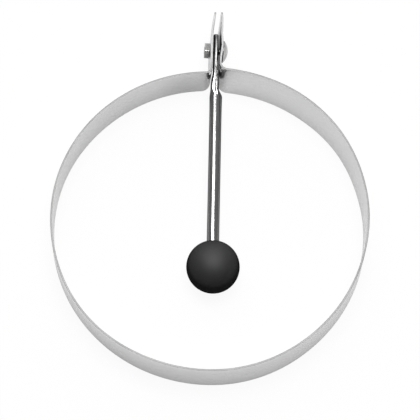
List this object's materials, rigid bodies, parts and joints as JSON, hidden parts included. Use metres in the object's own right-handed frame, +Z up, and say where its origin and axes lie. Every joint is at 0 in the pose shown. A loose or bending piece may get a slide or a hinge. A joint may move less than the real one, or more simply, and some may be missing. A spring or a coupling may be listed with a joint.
{
  "type": "egg ring",
  "caption": "Round egg ring of bent steel strip, with a screwed pair of ears that carry a fold-down rod handle ending in a black ball.",
  "frame": {"origin": "middle of the overall box on the plane the ring lies on, with the handle folded down", "axes": "+Z up along the ring's axis, +Y from the ring toward its ears, +X toward the screw head's side"},
  "size_m": [0.102, 0.1226, 0.0174],
  "materials": {
    "satin_steel": "satin",
    "polished_steel": "polished",
    "plated_steel": "nickel plated",
    "black_plastic": "semi-matte"
  },
  "bodies": {
    "ring": {"ring_band": "satin_steel", "pivot_screw": "plated_steel", "pivot_nut": "plated_steel"},
    "handle": {"handle_rod": "polished_steel", "ball_knob": "black_plastic"}
  },
  "joints": [
    {"name": "handle_fold", "type": "hinge", "parent": "ring", "child": "handle", "pos_m": [0.0011, 0.05038, 0.0089], "axis": [-1, 0, 0], "range_deg": [0, 100]}
  ]
}
